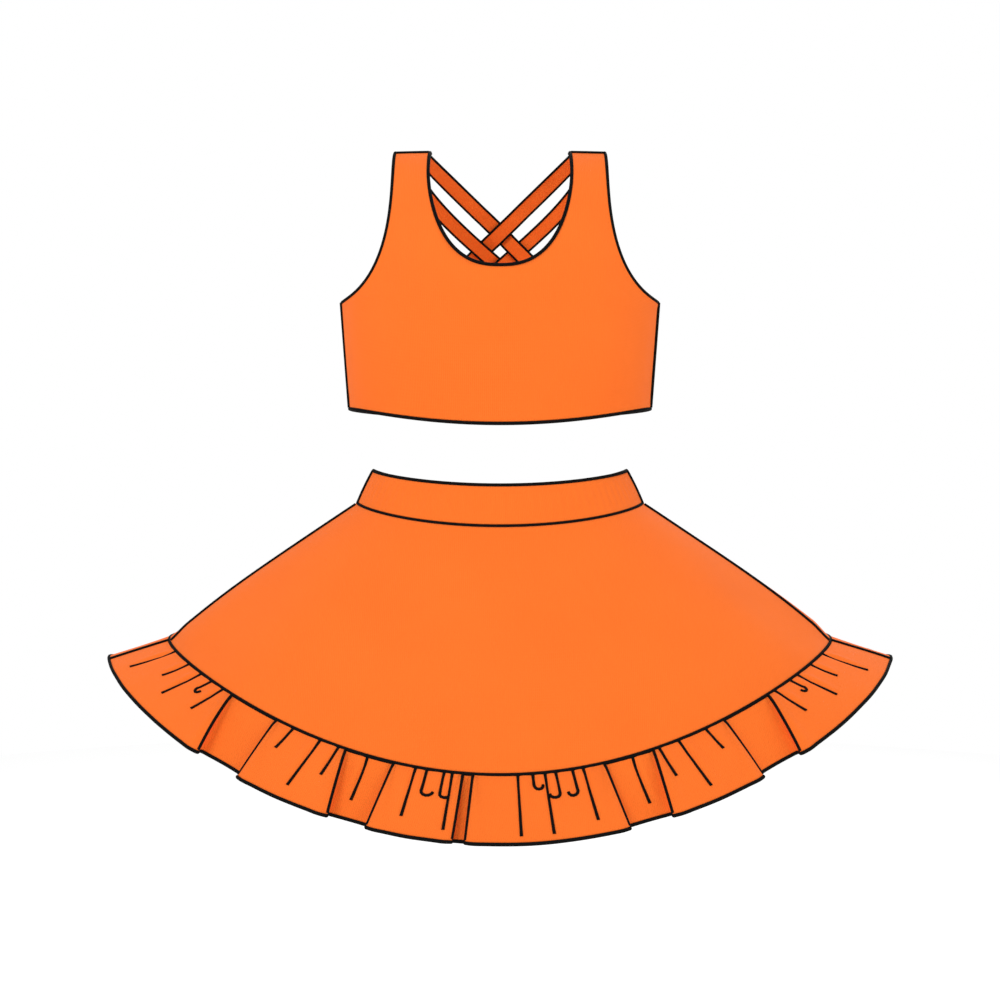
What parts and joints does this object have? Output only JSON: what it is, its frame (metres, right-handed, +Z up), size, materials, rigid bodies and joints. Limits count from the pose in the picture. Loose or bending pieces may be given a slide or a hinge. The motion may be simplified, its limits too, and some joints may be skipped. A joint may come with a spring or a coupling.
{
  "type": "cheer uniform",
  "caption": "Two-piece cheer uniform: sleeveless crop top with crossed back straps, and a flared skirt with a gathered ruffle hem and black piping.",
  "frame": {"origin": "in the middle of the wearer's waist, between the upper and lower edges of the waistband", "axes": "+Z up along the wearer's body, -Y out of the front of the garments, +X to the wearer's left"},
  "size_m": [0.788, 0.5202, 0.6261],
  "materials": {
    "orange_knit": "matt double knit",
    "black_piping": "matt bias binding",
    "orange_lining": "matt fine knit",
    "white_elastic": "woven elastic",
    "white_label": "satin ribbon, blank"
  },
  "bodies": {
    "skirt": {"waistband_shell": "orange_knit", "waistband_elastic": "white_elastic", "waistband_facing": "orange_lining", "waistband_top_piping": "black_piping", "waist_seam_piping": "black_piping", "skirt_front_panel": "orange_knit", "skirt_back_panel": "orange_knit", "skirt_side_seam_left": "orange_lining", "skirt_side_seam_right": "orange_lining", "ruffle_seam_piping": "black_piping", "ruffle_front": "orange_knit", "ruffle_back": "orange_knit", "ruffle_hem_edging": "black_piping"},
    "top": {"top_front_panel": "orange_knit", "top_front_lining": "orange_lining", "top_back_panel": "orange_knit", "neck_piping": "black_piping", "armhole_piping_left": "black_piping", "armhole_piping_right": "black_piping", "back_edge_piping": "black_piping", "top_hem_piping": "black_piping", "top_hem_elastic": "white_elastic", "back_strap_left_upper": "orange_knit", "back_strap_left_lower": "orange_knit", "shoulder_tape_left": "orange_lining", "top_side_seam_left": "orange_lining", "back_strap_right_upper": "orange_knit", "back_strap_right_lower": "orange_knit", "shoulder_tape_right": "orange_lining", "top_side_seam_right": "orange_lining"},
    "top_label": {"top_care_label": "white_label"},
    "skirt_label": {"skirt_care_label": "white_label"}
  },
  "joints": [
    {"name": "top_lift", "type": "slide", "parent": "skirt", "child": "top", "axis": [0, 0, 1], "range_m": [0, 0.3]},
    {"name": "top_label_flip", "type": "hinge", "parent": "top", "child": "top_label", "pos_m": [0, 0.0752, 0.198], "axis": [-1, 0, 0], "range_deg": [0, 120]},
    {"name": "skirt_label_flip", "type": "hinge", "parent": "skirt", "child": "skirt_label", "pos_m": [0, 0.0816, -0.0247], "axis": [-1, 0, 0], "range_deg": [0, 120]}
  ]
}
